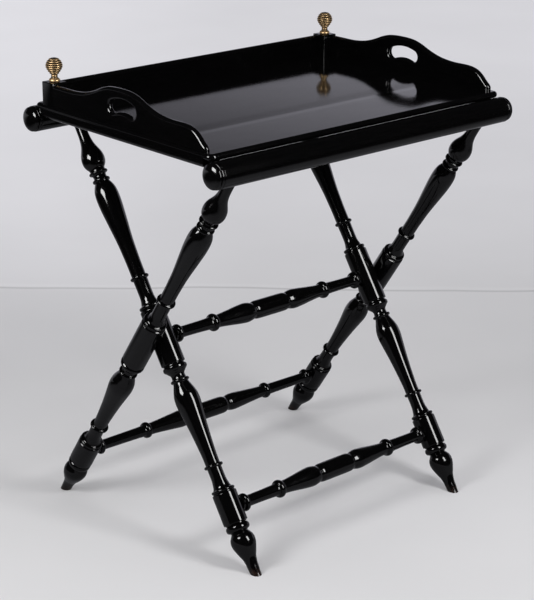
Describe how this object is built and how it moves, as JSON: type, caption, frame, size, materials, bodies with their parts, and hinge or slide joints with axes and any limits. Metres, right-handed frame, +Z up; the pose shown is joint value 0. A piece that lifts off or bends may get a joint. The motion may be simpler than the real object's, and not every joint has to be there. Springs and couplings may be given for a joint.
{
  "type": "butler tray on folding stand",
  "caption": "Rectangular serving tray with a shaped three-sided gallery and handholes, resting on the rails of a turned folding X stand.",
  "frame": {"origin": "on the floor under the middle of the stand, below the pivot line", "axes": "+X along the rails to the right, +Y from the tray's open front to its back gallery, +Z up"},
  "size_m": [0.76, 0.5768, 0.9082],
  "materials": {
    "ebonised_wood": "black lacquer, high gloss",
    "brass": "polished",
    "steel": "plain"
  },
  "bodies": {
    "inner_frame": {"inner_leg_left": "ebonised_wood", "inner_leg_right": "ebonised_wood", "front_stretcher": "ebonised_wood", "pivot_stretcher": "ebonised_wood", "back_rail": "ebonised_wood"},
    "outer_frame": {"outer_leg_left": "ebonised_wood", "outer_leg_right": "ebonised_wood", "rear_stretcher": "ebonised_wood", "front_rail": "ebonised_wood"},
    "tray": {"tray_board": "ebonised_wood", "cleat_left": "ebonised_wood", "cleat_right": "ebonised_wood", "back_gallery": "ebonised_wood", "side_gallery_left": "ebonised_wood", "side_gallery_right": "ebonised_wood", "corner_post_left": "ebonised_wood", "corner_post_right": "ebonised_wood", "finial_left": "brass", "finial_right": "brass", "cleat_screw_left_1": "steel", "cleat_screw_left_2": "steel", "cleat_screw_left_3": "steel", "cleat_screw_right_1": "steel", "cleat_screw_right_2": "steel", "cleat_screw_right_3": "steel"}
  },
  "joints": [
    {"name": "stand_fold", "type": "hinge", "parent": "inner_frame", "child": "outer_frame", "pos_m": [0, 0, 0.3953], "axis": [-1, 0, 0], "range_deg": [0, 60]},
    {"name": "tray_lift", "type": "slide", "parent": "inner_frame", "child": "tray", "axis": [0, 0, 1], "range_m": [0, 0.735]}
  ],
  "couplings": [
    {"joint": "tray_lift", "follows": "stand_fold", "m_per_rad": 0.7}
  ]
}
